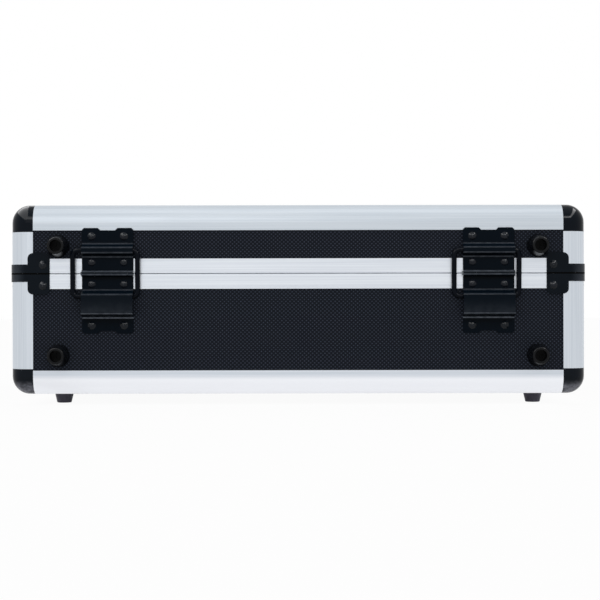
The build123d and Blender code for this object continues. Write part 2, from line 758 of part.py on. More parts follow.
with BuildPart() as latch_plates:
    for x in (-latch_x, latch_x):
        with BuildSketch(wall_face("front", x, z_seam).offset(panel_seat)):
            with Locations((0, -(latch_plate_top + latch_plate_bottom) / 2)):
                RectangleRounded(latch_plate_width, latch_plate_bottom - latch_plate_top, leaf_corner_radius)
        extrude(amount=latch_plate_thickness)
        ear_root = latch_pivot_out - (latch_plate_thickness + panel_seat)
        for ear_x in (-latch_ear_inner - latch_ear_thickness / 2, latch_ear_inner + latch_ear_thickness / 2):
            with BuildSketch(pivot_view(x + ear_x)):
                Circle(latch_ear_radius)
                with Locations((-ear_root / 2, 0)):
                    Rectangle(ear_root, 2 * latch_ear_radius)
                Circle(latch_pin_radius + latch_pin_clearance, mode=Mode.SUBTRACT)
            extrude(amount=latch_ear_thickness / 2, both=True)
    cut_rivet_holes("front", "base")
save(latch_plates, "latch_plates")

with BuildPart() as latch_pivot_pins:
    for x in (-latch_x, latch_x):
        with BuildSketch(pivot_view(x)):
            Circle(latch_pin_radius)
        extrude(amount=lever_half, both=True)
save(latch_pivot_pins, "latch_pivot_pins")

with BuildPart() as latch_keepers:
    for x in (-latch_x, latch_x):
        with BuildSketch(wall_face("front", x, z_seam)):
            with Locations((0, (keeper_bottom + keeper_top) / 2)):
                RectangleRounded(keeper_width, keeper_top - keeper_bottom, leaf_corner_radius)
        extrude(amount=keeper_thickness)
        with BuildSketch(side_view(x, y_front, z_seam, -1)):
            with Locations((keeper_ledge_reach / 2, keeper_ledge_top - keeper_thickness / 2)):
                Rectangle(keeper_ledge_reach, keeper_thickness)
        extrude(amount=keeper_ledge_width / 2, both=True)
    cut_rivet_holes("front", "lid")
save(latch_keepers, "latch_keepers")


def latch_lever(x):
    """Channel-shaped lever: a cover with a flared finger tab, and a cheek on each side with two eyes."""
    cover = lever_cover_out - latch_pivot_out
    with BuildPart() as lever:
        with BuildSketch(lever_view(x)):
            with BuildLine():
                Polyline((cover, lever_cover_rise), (cover, -lever_length),
                         (cover + lever_tab_flare, -lever_length - lever_tab_length))
                offset(amount=lever_thickness, side=Side.RIGHT)
            make_face()
        extrude(amount=lever_half, both=True)
        for sign in (-1, 1):
            with BuildSketch(lever_view(x + sign * (lever_half - lever_thickness / 2))):
                Circle(lever_pivot_radius)
                with Locations((hook_pin_out, -hook_pin_drop)):
                    Circle(hook_eye_radius)
                with BuildLine():
                    Polyline((cover - lever_thickness / 2, lever_cover_rise), (0, lever_cover_rise),
                             (0, -hook_pin_drop), (cover - lever_thickness, -lever_length),
                             (cover - lever_thickness / 2, -lever_length), close=True)
                make_face()
                Circle(latch_pin_radius + latch_pin_clearance, mode=Mode.SUBTRACT)
                with Locations((hook_pin_out, -hook_pin_drop)):
                    Circle(hook_pin_radius + latch_pin_clearance, mode=Mode.SUBTRACT)
            extrude(amount=lever_thickness / 2, both=True)
    return lever


def latch_hook(x):
    """Draw hook: two arms on the outside of the lever, a bridge across them and a claw over the keeper."""
    bridge_low = hook_length - hook_bridge_height
    with BuildPart() as hook:
        for sign in (-1, 1):
            with BuildSketch(hook_view(x + sign * (hook_half - hook_thickness / 2))):
                Circle(hook_eye_radius)
                with BuildLine():
                    Polyline((-hook_plate_thickness / 2 - 1, 0), (hook_plate_thickness / 2, 0),
                             (hook_plate_thickness / 2, hook_length + hook_plate_thickness),
                             (-hook_plate_thickness / 2, hook_length + hook_plate_thickness), close=True)
                make_face()
                Circle(hook_pin_radius + latch_pin_clearance, mode=Mode.SUBTRACT)
            extrude(amount=hook_thickness / 2, both=True)
        with BuildSketch(hook_view(x)):
            with Locations((0, (bridge_low + hook_length + hook_plate_thickness) / 2)):
                Rectangle(hook_plate_thickness, hook_bridge_height + hook_plate_thickness)
        extrude(amount=hook_half, both=True)
        claw_reach = latch_pivot_out + hook_pin_out - keeper_thickness - hook_claw_clearance
        with BuildSketch(hook_view(x)):
            with Locations((-claw_reach / 2, hook_length + hook_plate_thickness / 2)):
                Rectangle(claw_reach, hook_plate_thickness)
        extrude(amount=hook_claw_width / 2, both=True)
    return hook


for name, x in (("left", -latch_x), ("right", latch_x)):
    save(latch_lever(x), f"latch_lever_{name}")
    save(latch_hook(x), f"latch_hook_{name}")
    with BuildPart() as hook_pin:
        with BuildSketch(hook_view(x)):
            Circle(hook_pin_radius)
        extrude(amount=hook_half + hook_side_gap, both=True)
    save(hook_pin, f"latch_hook_pin_{name}")


# Folding handle
pivot_z = z_seam - handle_pivot_drop
handle_plane = Plane(origin=(0, y_front - handle_pivot_out, pivot_z), x_dir=(1, 0, 0), z_dir=(0, -1, 0))
handle_bar_end_x = handle_x + handle_ear_spread + handle_ear_thickness / 2 + handle_bar_overhang
half_grip = handle_arm_x - handle_bend_radius - grip_end_gap

with BuildPart() as handle_brackets:
    for x in (-handle_x, handle_x):
        with BuildSketch(wall_face("front", x, pivot_z).offset(panel_seat)):
            RectangleRounded(handle_plate_width, handle_plate_height, bracket_corner_radius)
        extrude(amount=handle_plate_thickness)
        ear_root = handle_pivot_out - (handle_plate_thickness + panel_seat)
        for ear_x in (-handle_ear_spread, handle_ear_spread):
            with BuildSketch(side_view(x + ear_x, y_front - handle_pivot_out, pivot_z, -1)):
                Circle(handle_ear_radius)
                with Locations((-ear_root / 2, 0)):
                    Rectangle(ear_root, 2 * handle_ear_radius)
                Circle(handle_bar_radius + handle_bar_clearance, mode=Mode.SUBTRACT)
            extrude(amount=handle_ear_thickness / 2, both=True)
    cut_rivet_holes("front", "base")
save(handle_brackets, "handle_brackets")

with BuildPart() as handle_bar:
    with BuildLine(handle_plane) as bar_line:
        FilletPolyline((-handle_bar_end_x, 0), (-handle_arm_x, 0), (-handle_arm_x, -handle_arm_length),
                       (handle_arm_x, -handle_arm_length), (handle_arm_x, 0), (handle_bar_end_x, 0),
                       radius=handle_bend_radius)
    bar_path = bar_line.wires()[0]
    with BuildSketch(Plane(origin=bar_path @ 0, z_dir=bar_path % 0)):
        Circle(handle_bar_radius)
    sweep(path=bar_path)
save(handle_bar, "handle_bar")

with BuildPart() as handle_grip:
    grip_axis = Axis(handle_plane.from_local_coords(Vector(0, -handle_arm_length, 0)), (1, 0, 0))
    with BuildSketch(handle_plane) as grip_section:
        with BuildLine():
            low = -handle_arm_length
            bore = handle_bar_radius + handle_bar_clearance
            Line((-half_grip, low + bore), (half_grip, low + bore))
            Line((half_grip, low + bore), (half_grip, low + grip_end_radius))
            ThreePointArc((half_grip, low + grip_end_radius), (0, low + grip_radius),
                          (-half_grip, low + grip_end_radius))
            Line((-half_grip, low + grip_end_radius), (-half_grip, low + bore))
        make_face()
        fillet(grip_section.vertices().group_by(Axis.Y)[-1], grip_end_round)
    revolve(axis=grip_axis)
save(handle_grip, "handle_grip")


# Foam lining
foam_margin = frame_depth + foam_clearance
foam_width = case_width - 2 * foam_margin
foam_depth = case_depth - 2 * foam_margin
pad_low = z_bottom + foam_margin
frame_low = pad_low + base_pad_thickness + foam_clearance

with BuildPart() as foam_base_pad:
    with BuildSketch(Plane(origin=(0, y_middle, pad_low))):
        Rectangle(foam_width, foam_depth)
    extrude(amount=base_pad_thickness)
save(foam_base_pad, "foam_base_pad")

with BuildPart() as foam_frame:
    with BuildSketch(Plane(origin=(0, y_middle, frame_low))):
        Rectangle(foam_width, foam_depth)
        RectangleRounded(mixer_pocket_width, mixer_pocket_depth, mixer_pocket_radius, mode=Mode.SUBTRACT)
    extrude(amount=z_seam - foam_seam_drop - frame_low)
save(foam_frame, "foam_frame")

with BuildPart() as foam_lid_pad:
    with BuildSketch(Plane(origin=(0, y_middle, z_top - foam_margin))):
        Rectangle(foam_width, foam_depth)
    extrude(amount=-lid_pad_thickness)
save(foam_lid_pad, "foam_lid_pad")
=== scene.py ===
# %% [markdown]
# A hard case for a podcast mixer, seen from its hinged back with the lid shut.
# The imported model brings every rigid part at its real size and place. This lesson gives each part
# the finish that its maker gave it, and makes the foam lining, which only has plain blocks there.
# Lengths are in metres and +Z is up. The hinges face +Y, and the handle and latches face -Y.

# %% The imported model
import math

import bpy
import numpy as np
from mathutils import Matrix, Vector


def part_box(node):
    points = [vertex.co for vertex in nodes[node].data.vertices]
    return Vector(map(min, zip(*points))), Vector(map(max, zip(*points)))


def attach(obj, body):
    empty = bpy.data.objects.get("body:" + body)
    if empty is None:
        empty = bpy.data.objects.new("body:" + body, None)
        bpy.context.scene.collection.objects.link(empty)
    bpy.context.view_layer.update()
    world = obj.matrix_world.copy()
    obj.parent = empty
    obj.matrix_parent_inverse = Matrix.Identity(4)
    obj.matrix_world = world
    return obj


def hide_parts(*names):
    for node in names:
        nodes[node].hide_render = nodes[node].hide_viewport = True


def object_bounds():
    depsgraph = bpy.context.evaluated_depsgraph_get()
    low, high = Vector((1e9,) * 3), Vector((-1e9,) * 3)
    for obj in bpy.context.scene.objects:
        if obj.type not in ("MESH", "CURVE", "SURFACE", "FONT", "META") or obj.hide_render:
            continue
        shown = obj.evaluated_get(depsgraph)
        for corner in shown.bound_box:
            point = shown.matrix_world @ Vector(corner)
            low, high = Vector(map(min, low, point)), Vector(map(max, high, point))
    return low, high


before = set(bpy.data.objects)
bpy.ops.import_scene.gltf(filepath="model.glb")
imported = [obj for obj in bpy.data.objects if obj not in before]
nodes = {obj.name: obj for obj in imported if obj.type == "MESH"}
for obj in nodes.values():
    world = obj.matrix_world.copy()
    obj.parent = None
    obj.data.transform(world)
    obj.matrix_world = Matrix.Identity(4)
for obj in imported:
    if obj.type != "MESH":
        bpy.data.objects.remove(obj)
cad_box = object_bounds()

MM = 0.001
print("size in mm:", [round((high - low) / MM, 1) for low, high in zip(*cad_box)])

# %% [markdown]
# The camera comes first, because every finish is judged through it. It looks square onto the back,
# with no sight of the top or the bottom, so it stands far off, at 1.3 m. A long lens from that far
# keeps the edges of the case straight, where a short lens close by would spread the corners. It is
# held a tenth of a degree off level, so the left end of the view sits about a pixel lower.

# %% The camera
VIEW_DISTANCE = 1300 * MM
VIEW_WIDTH = 468 * MM
VIEW_HEIGHT = 82.1 * MM
VIEW_X = -1.4 * MM
VIEW_ROLL = math.radians(0.1)
SENSOR_MM = 36.0

back_face_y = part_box("base_rim_rear")[1][1]
camera_data = bpy.data.cameras.new("camera")
camera_data.sensor_width = SENSOR_MM
camera_data.lens = SENSOR_MM * VIEW_DISTANCE / VIEW_WIDTH
camera = bpy.data.objects.new("camera", camera_data)
camera.location = (VIEW_X, back_face_y + VIEW_DISTANCE, VIEW_HEIGHT)
camera.rotation_euler = (math.pi / 2, VIEW_ROLL, math.pi)
bpy.context.scene.collection.objects.link(camera)
bpy.context.scene.camera = camera
print("lens:", round(camera_data.lens, 1), "mm")

# %% [markdown]
# A colour is picked in sRGB, as a screen shows it, but a shader works with linear light, so one
# function converts it. A material is a small network of nodes, and one function adds a node together
# with its options, its linked sockets and its plain ones. Most networks here turn a pattern into a
# range of values or into a mix of two colours, so two more functions fill in those nodes' sockets.


# %% Colours and nodes
def linear(hex_code):
    """sRGB hex to linear RGBA: a dark channel is divided by 12.92, and any other has 0.055 added,
    is divided by 1.055, and is raised to the power 2.4."""
    channels = np.array([int(hex_code[i:i + 2], 16) for i in (1, 3, 5)]) / 255.0
    bright = ((channels + 0.055) / 1.055) ** 2.4
    return (*np.where(channels <= 0.04045, channels / 12.92, bright).tolist(), 1.0)


def add_node(tree, kind, links=None, values=None, output=None, **settings):
    """Adds a node: settings are its options, values its plain sockets, links its fed sockets.
    Gives the output that is asked for, or else the first one in use."""
    made = tree.nodes.new(kind)
    for option, value in settings.items():
        setattr(made, option, value)
    for socket, value in (values or {}).items():
        made.inputs[socket].default_value = value
    for socket, source in (links or {}).items():
        tree.links.new(source, made.inputs[socket])
    if output is None:
        return next(socket for socket in made.outputs if socket.enabled)
    return made.outputs[output]


def ramp(low, high, start=0.0, end=1.0):
    """Sockets of a Map Range node that turns start to end of its source into low to high."""
    return {"From Min": start, "From Max": end, "To Min": low, "To Max": high}


def pair(first, second):
    """Sockets of a Mix node between two sRGB hex colours."""
    return {"A": linear(first), "B": linear(second)}


SMOOTH = {"interpolation_type": "SMOOTHSTEP"}
IN_COLOUR = {"data_type": "RGBA"}
print("white is", linear("#FFFFFF"))

# %% [markdown]
# Every finish starts as a Principled material. What is even all over it is set on the shader's own
# sockets, and what varies is fed by a pattern. The usual pattern is noise with spots of a width in
# millimetres. It lies on the part's own coordinates, so it stays put on a part that moves.


# %% A material and its pattern
def network(material):
    """A material's tree of nodes and its Principled shader."""
    return material.node_tree, material.node_tree.nodes["Principled BSDF"]


def new_material(name, colour, roughness, **even):
    """A Principled material with its even values set on the shader's own sockets."""
    material = bpy.data.materials.new(name)
    material.use_nodes = True
    tree, shader = network(material)
    shader.inputs["Base Color"].default_value = linear(colour)
    shader.inputs["Roughness"].default_value = roughness
    for socket, value in even.items():
        shader.inputs[socket.replace("_", " ")].default_value = value
    return material, tree, shader


def spots(tree, size_mm, detail=2.0, stretch=(1.0, 1.0, 1.0)):
    """Noise whose spots are about size_mm wide, each axis stretched by its own factor."""
    place = add_node(tree, "ShaderNodeTexCoord", output="Object")
    scale = tuple(1.0 / (size_mm * MM * factor) for factor in stretch)
    spread = add_node(tree, "ShaderNodeMapping", {"Vector": place}, {"Scale": scale})
    return add_node(tree, "ShaderNodeTexNoise", {"Vector": spread}, {"Scale": 1.0, "Detail": detail})


def feed(tree, shader, height, relief_mm, **sources):
    """Feeds sockets of a shader, and raises its surface by relief_mm where the height is 1."""
    relief = add_node(tree, "ShaderNodeBump", {"Height": height}, {"Distance": relief_mm * MM})
    for socket, source in {**sources, "Normal": relief}.items():
        tree.links.new(source, shader.inputs[socket.replace("_", " ")])


print("materials before the first finish:", len(bpy.data.materials))

# %% [markdown]
# The edges are extruded aluminium, satin anodised. The die leaves very fine lines along each bar,
# and the oxide layer gives an even, slightly blue grey. A metal's colour is what it reflects, so
# the base colour is that grey. The lines are noise that is stretched 160 times along the bar. Real
# ones are a few tenths of a millimetre wide, so they are drawn at 0.9 mm to show at all. Bars run
# three ways, so the material is made for each way that its own bars run.

# %% Anodised aluminium
LINE_WIDTH_MM, LINE_STRETCH, LINE_RELIEF_MM = 0.9, 160.0, 0.004
CLOUD_MM = 60.0
LEVEL_AXES = "XY"


def anodised_aluminium(name, light, dark, along):
    """Satin metal with drawing lines along one axis: 0 for X, 1 for Y, 2 for Z."""
    material, tree, shader = new_material(name, light, 0.42, Metallic=1.0)
    stretch = [LINE_STRETCH if axis == along else 1.0 for axis in range(3)]
    lines = spots(tree, LINE_WIDTH_MM, 3.0, stretch)
    share = add_node(tree, "ShaderNodeMapRange", {"Value": lines}, ramp(0.0, 1.0, 0.3, 0.7), **SMOOTH)
    grey = add_node(tree, "ShaderNodeMix", {"Factor": share}, pair(dark, light), **IN_COLOUR)
    satin = add_node(tree, "ShaderNodeMapRange", {"Value": spots(tree, CLOUD_MM, 1.0)},
                     ramp(0.38, 0.46), **SMOOTH)
    feed(tree, shader, lines, LINE_RELIEF_MM, Base_Color=grey, Roughness=satin)
    return material


# The top edges: satin grey, whose lines draw the highlight out across the bar.
edge_metal = [anodised_aluminium(f"aluminium satin anodised, edge along {axis}", "#CCD3DA", "#C2CAD2", i)
              for i, axis in enumerate(LEVEL_AXES)]
# The posts: the same satin a shade paler, with its lines running upright.
post_metal = anodised_aluminium("aluminium satin anodised, post", "#D5DBE2", "#CAD1D9", 2)
# The rims: the palest satin, two clean bands along the seam.
rim_metal = [anodised_aluminium(f"aluminium satin anodised, rim along {axis}", "#E0E5EB", "#D5DAE2", i)
             for i, axis in enumerate(LEVEL_AXES)]
print("aluminium finishes:", len(edge_metal) + len(rim_metal) + 1)

# %% [markdown]
# The bottom edges' rounded corner mirrors the white floor, and that reflection is painted into its
# colour as a brighter metal, while the flat leg above it keeps the satin grey. The corner is 14 mm
# high, so the change is a smooth step over a few millimetres of height there. Two helpers do it: one
# reads the place along an axis, and one mixes a second colour into a finish that is already made.

# %% Bottom edges with a painted reflection of the floor
SILL_CORNER_TOP = 21.8 * MM
SILL_FADE = 2.4 * MM


def coordinate(tree, axis):
    """The place on the case along one axis, 0 for X, 1 for Y or 2 for Z, in metres."""
    place = add_node(tree, "ShaderNodeTexCoord", output="Object")
    return add_node(tree, "ShaderNodeSeparateXYZ", {"Vector": place}, output=axis)


def recolour(material, share, colour):
    """Mixes another colour into the material's base colour, by a share from 0 to 1."""
    tree, shader = network(material)
    first = shader.inputs["Base Color"].links[0].from_socket
    mixed = add_node(tree, "ShaderNodeMix", {"Factor": share, "A": first}, {"B": linear(colour)},
                     **IN_COLOUR)
    tree.links.new(mixed, shader.inputs["Base Color"])


def aluminium_with_painted_floor_reflection(name, along):
    """Anodised bar whose grey goes to a painted floor reflection below the top of its rounded corner."""
    material = anodised_aluminium(name, "#D5DAE2", "#CBD2DA", along)
    tree = material.node_tree
    corner = ramp(1.0, 0.0, SILL_CORNER_TOP - SILL_FADE, SILL_CORNER_TOP + SILL_FADE)
    rubbed_and_painted_light = add_node(tree, "ShaderNodeMapRange", {"Value": coordinate(tree, 2)}, corner, **SMOOTH)
    # Paints the floor's reflection in: a near-white metal low on the rounded corner.
    recolour(material, rubbed_and_painted_light, "#F6F8FD")
    return material


# The sills: a bright band along the bottom of the case, a painted reflection of the white floor.
sill_metal = [aluminium_with_painted_floor_reflection(f"aluminium burnished, sill along {axis}", i)
              for i, axis in enumerate(LEVEL_AXES)]
print("painted_floor_reflection finishes:", len(sill_metal))

# %% [markdown]
# The panels are plywood faced with black ABS laminate, which a roller embosses with small raised
# diamonds, 3.2 mm apart along the panel and 3.0 mm across it, every other row moved by half a step.
# The product of two cosines has exactly that staggered lattice: it peaks where both waves peak
# and where both dip. The peaks are raised a little and a shade lighter than the ground.

# %% Embossed laminate
DIAMOND_STEPS = (3.2 * MM, 3.0 * MM)
DIAMOND_RELIEF_MM = 0.25
RUBBED_PATCH_MM = 25.0


def wave(tree, axis, step):
    """Cosine with one full turn for each step along an axis: 1 at every step, -1 halfway between."""
    turned = add_node(tree, "ShaderNodeMath", {0: coordinate(tree, axis)}, {1: 2 * math.pi / step},
                      operation="MULTIPLY")
    return add_node(tree, "ShaderNodeMath", {0: turned}, operation="COSINE")


def embossed_laminate(name, *axes):
    """Raised diamonds on a face that lies along two axes: 0 for X, 1 for Y, 2 for Z."""
    material, tree, shader = new_material(name, "#191D27", 0.5, Specular_IOR_Level=0.1)
    waves = {slot: wave(tree, axis, step) for slot, (axis, step) in enumerate(zip(axes, DIAMOND_STEPS))}
    lattice = add_node(tree, "ShaderNodeMath", waves, operation="MULTIPLY")
    diamonds = add_node(tree, "ShaderNodeMapRange", {"Value": lattice}, ramp(0.0, 1.0, 0.15, 0.75),
                        **SMOOTH)
    black = add_node(tree, "ShaderNodeMix", {"Factor": diamonds}, pair("#0E131C", "#393F4C"), **IN_COLOUR)
    rubbed_and_painted_light = add_node(tree, "ShaderNodeMapRange", {"Value": spots(tree, RUBBED_PATCH_MM, 4.0)},
                      ramp(0.42, 0.58), **SMOOTH)
    feed(tree, shader, diamonds, DIAMOND_RELIEF_MM, Base_Color=black, Roughness=rubbed_and_painted_light)
    return material


# The panels: a blue black that looks like cloth from far off, with a grey fleck on each diamond.
laminate = {"wall_y": embossed_laminate("ABS laminate embossed black, front and back", 0, 2),
            "wall_x": embossed_laminate("ABS laminate embossed black, sides", 1, 2),
            "level": embossed_laminate("ABS laminate embossed black, top and floor", 0, 1)}
print("laminate finishes:", len(laminate))

# %% [markdown]
# The other finishes have no direction, so one recipe serves them: a base colour that drifts to a
# second shade in soft spots, a roughness that drifts with it, and a fine relief. What tells them
# apart is how even they are and how sharp their highlights are. The grain of rubber and of plating
# is finer than can show from here, so it is drawn at 0.6 to 0.9 mm. First come the mouldings:
# glassy ABS for the caps, and rubber for the feet and the grip.


# %% Mouldings in plastic and rubber
def plain_finish(name, shades, rough, spot_mm, grain_mm, relief_mm=0.01, **even):
    """Two shades and two roughness limits mixed by soft spots, with a fine relief of its grain."""
    material, tree, shader = new_material(name, shades[0], rough[0], **even)
    drift = spots(tree, spot_mm, 3.0)
    colour = add_node(tree, "ShaderNodeMix", {"Factor": drift}, pair(*shades), **IN_COLOUR)
    sheen = add_node(tree, "ShaderNodeMapRange", {"Value": drift}, ramp(*rough), **SMOOTH)
    feed(tree, shader, spots(tree, grain_mm), relief_mm, Base_Color=colour, Roughness=sheen)
    return material


# Gloss black: almost nothing shows but the sharp shape of each lamp.
lid_cap = plain_finish("ABS moulded, gloss black, lid caps", ("#000308", "#02070E"), (0.07, 0.11),
                       spot_mm=12.0, grain_mm=2.5, Specular_IOR_Level=0.09)
# The same mould with its gloss dulled: the highlight is wider and softer.
base_cap = plain_finish("ABS moulded, black, base caps", ("#03070D", "#070C12"), (0.12, 0.18),
                        spot_mm=12.0, grain_mm=2.5, Specular_IOR_Level=0.09)
# Clean rubber: a dark body with a small pale crescent where a lamp falls on its rounded edge.
foot_rubber = plain_finish("rubber moulded, black", ("#020304", "#07080B"), (0.24, 0.32),
                           spot_mm=6.0, grain_mm=0.9, Specular_IOR_Level=0.12)
# Rubber that floors have scoured: a dull grey without a highlight.
scuffed_rubber = plain_finish("rubber moulded, scuffed by the floor", ("#5A5864", "#6E6C79"), (0.45, 0.55),
                              spot_mm=6.0, grain_mm=0.9, relief_mm=0.02, Specular_IOR_Level=0.2)
# Soft grip rubber: a dry black that spreads the light.
grip_rubber = plain_finish("rubber grip moulded, black", ("#0C0D10", "#15171B"), (0.55, 0.68),
                           spot_mm=8.0, grain_mm=0.8, relief_mm=0.05, Specular_IOR_Level=0.2)
print("materials so far:", len(bpy.data.materials))

# %% [markdown]
# The fittings are steel under a coat. Powder coat is baked on and has a faint orange peel, lacquer
# is thinner and smoother, and zinc plating keeps the metal's grain. Their specular level is far
# under that of a plain plastic, because the blacks have to stay black beside the white surroundings.

# %% Coats on steel
POWDER_SHADES, POWDER_ROUGH = ("#01050B", "#04090F"), (0.22, 0.30)
POWDER_SPOT_MM, ORANGE_PEEL_MM, ORANGE_PEEL_RELIEF_MM = 18.0, 1.2, 0.01

# Powder coat on the latches and the handle's brackets: a deep satin black.
powder_coat = plain_finish("steel powder coated, satin black", POWDER_SHADES, POWDER_ROUGH,
                           POWDER_SPOT_MM, ORANGE_PEEL_MM, ORANGE_PEEL_RELIEF_MM,
                           Specular_IOR_Level=0.04)
# The same coat on the corner plates: a shade greyer, and it catches a little more light.
bracket_coat = plain_finish("steel powder coated, corner plates", ("#03070C", "#070C12"), POWDER_ROUGH,
                            POWDER_SPOT_MM, ORANGE_PEEL_MM, ORANGE_PEEL_RELIEF_MM,
                            Specular_IOR_Level=0.06)
# Lacquer on round wire: one thin bright line along the black.
lacquered_wire = plain_finish("steel wire lacquered, black", ("#020409", "#05080E"), (0.20, 0.28),
                              spot_mm=9.0, grain_mm=0.8, Specular_IOR_Level=0.05)
# Rivets, polished a little by the tool that set them: a small highlight on each dome.
rivet_coat = plain_finish("steel rivet coated, black", ("#070A0F", "#0E1218"), (0.14, 0.20),
                          spot_mm=3.0, grain_mm=0.7, Specular_IOR_Level=0.15)
# Zinc plating on the pins: a dull grey metal that shows at their ends.
zinc_steel = plain_finish("steel zinc plated, dull", ("#5E6268", "#767A80"), (0.35, 0.48),
                          spot_mm=4.0, grain_mm=0.6, Metallic=1.0)
# Blackened screws deep in the feet: they read as dark holes.
screw_coat = plain_finish("steel screw blackened", ("#030405", "#090A0D"), (0.30, 0.40),
                          spot_mm=3.0, grain_mm=0.6, Specular_IOR_Level=0.06)
print("materials so far:", len(bpy.data.materials))

# %% [markdown]
# Some of these finishes also change colour at a place on the case. A base cap's lower rounding
# mirrors the white floor, and that reflection is painted in: below its upper edge the gloss goes to
# a mottled grey. The share of grey is a smooth step in height, times spots that leave some of the
# gloss between the grey patches.

# %% Base caps with a painted reflection of the floor
REFLECTION_TOP, REFLECTION_FULL = 20 * MM, 11 * MM
REFLECTION_SPOT_MM = 3.5

cap_tree = base_cap.node_tree
low_down = add_node(cap_tree, "ShaderNodeMapRange", {"Value": coordinate(cap_tree, 2)},
                    ramp(1.0, 0.0, REFLECTION_FULL, REFLECTION_TOP), **SMOOTH)
mottled = add_node(cap_tree, "ShaderNodeMapRange", {"Value": spots(cap_tree, REFLECTION_SPOT_MM, 4.0)},
                   ramp(0.35, 1.0, 0.35, 0.65), **SMOOTH)
scuffs_and_painted_reflection = add_node(cap_tree, "ShaderNodeMath", {0: low_down, 1: mottled}, operation="MULTIPLY")
# The painted reflection of the floor: a grey mixed in low on each base cap.
recolour(base_cap, scuffs_and_painted_reflection, "#7E7F88")
print("caps scuffed below", round(REFLECTION_TOP / MM), "mm")

# %% [markdown]
# Where a lid plate meets its base plate at the seam, both edges turn inwards, and the joint between
# them is a dark, matt line. The straps of the plates stand proud of the case's corner and catch the
# light there, and that highlight is painted in as a paler colour: it grows over the last 14 mm
# towards each corner, along X and along Y.

# %% Corner plates: painted highlights on the straps, and the joint at the seam
SEAM_Z = 102.9 * MM
JOINT_HALF_WIDTH = 0.6 * MM
STRAP_LENGTH = 14 * MM
STRAP_SPOT_MM = 5.0


def distance(tree, axis, start):
    """How far the place is from a start along one axis, without its sign, in metres."""
    offset = add_node(tree, "ShaderNodeMath", {0: coordinate(tree, axis)}, {1: start},
                      operation="SUBTRACT")
    return add_node(tree, "ShaderNodeMath", {0: offset}, operation="ABSOLUTE")


plate_tree, plate_shader = network(bracket_coat)
plate_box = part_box("lid_seam_brackets")
rubbed_and_painted_light = add_node(plate_tree, "ShaderNodeMapRange", {"Value": spots(plate_tree, STRAP_SPOT_MM)},
                  ramp(0.5, 1.0), **SMOOTH)
for axis in (0, 1):
    low, high = plate_box[0][axis], plate_box[1][axis]
    half_length = (high - low) / 2
    near_corner = add_node(plate_tree, "ShaderNodeMapRange",
                           {"Value": distance(plate_tree, axis, (low + high) / 2)},
                           ramp(0.0, 1.0, half_length - STRAP_LENGTH, half_length), **SMOOTH)
    rubbed_and_painted_light = add_node(plate_tree, "ShaderNodeMath", {0: rubbed_and_painted_light, 1: near_corner}, operation="MULTIPLY")
# The painted highlight on the straps: a paler grey towards each corner.
recolour(bracket_coat, rubbed_and_painted_light, "#30343A")

joint = add_node(plate_tree, "ShaderNodeMath", {0: distance(plate_tree, 2, SEAM_Z)},
                 {1: JOINT_HALF_WIDTH}, operation="LESS_THAN")
recolour(bracket_coat, joint, "#000000")
satin = plate_shader.inputs["Roughness"].links[0].from_socket
matt = add_node(plate_tree, "ShaderNodeMath", {0: satin, 1: joint}, operation="MAXIMUM")
plate_tree.links.new(matt, plate_shader.inputs["Roughness"])
print("joint of the plates at", round(SEAM_Z / MM, 1), "mm")

# %% [markdown]
# The grip's mould was turned on a lathe, which left fine lines round the rubber, 2.5 mm apart. They
# are a cosine along the grip with flattened peaks, only 0.2 mm high, laid over the rubber's grain.

# %% Turned lines on the grip
GRIP_LINE_PITCH = 2.5 * MM
GRIP_LINE_RELIEF = 0.2 * MM

grip_tree, grip_shader = network(grip_rubber)
lines = add_node(grip_tree, "ShaderNodeMapRange", {"Value": wave(grip_tree, 0, GRIP_LINE_PITCH)},
                 ramp(0.0, 1.0, -0.6, 0.3), **SMOOTH)
grain = grip_shader.inputs["Normal"].links[0].from_socket
relief = add_node(grip_tree, "ShaderNodeBump", {"Height": lines, "Normal": grain},
                  {"Distance": GRIP_LINE_RELIEF})
grip_tree.links.new(relief, grip_shader.inputs["Normal"])
print("grip lines every", round(GRIP_LINE_PITCH / MM, 1), "mm")

# %% [markdown]
# The hinge leaves are pressed from sheet, and each bend catches the light as a narrow bright line.
# Those highlights are painted into the coat as paler lines. They run level along the bends, so their
# only variable is height: each bend adds a narrow step to a sum, and noise along the line breaks it
# up. The lowest bends of the base leaf get the strongest painted highlights, and a faint painted
# sheen grows downwards over the last 14 mm of the arch, towards the flange.

# %% Powder coat with painted highlights
# The leaves' bends from the top down, the rolled knuckle's two among them: height over the seam in
# mm, and share of painted highlight.
LEAF_BEND_HIGHLIGHTS_MM = ((23.3, 0.1), (20.3, 0.1), (16.1, 0.25), (13.1, 0.3), (1.7, 0.18),
                 (-0.8, 0.25), (-12.8, 0.1), (-16.2, 0.1), (-31.3, 0.35), (-34.5, 0.75))
BEND_HALF_WIDTH = 0.6 * MM
ARCH_SHEEN_FROM, ARCH_SHEEN_FULL, ARCH_SHEEN_SHARE = SEAM_Z - 19 * MM, SEAM_Z - 33 * MM, 0.05
FLANGE_TOP = SEAM_Z - 34.5 * MM
HIGHLIGHT_SPOT_MM = 4.0


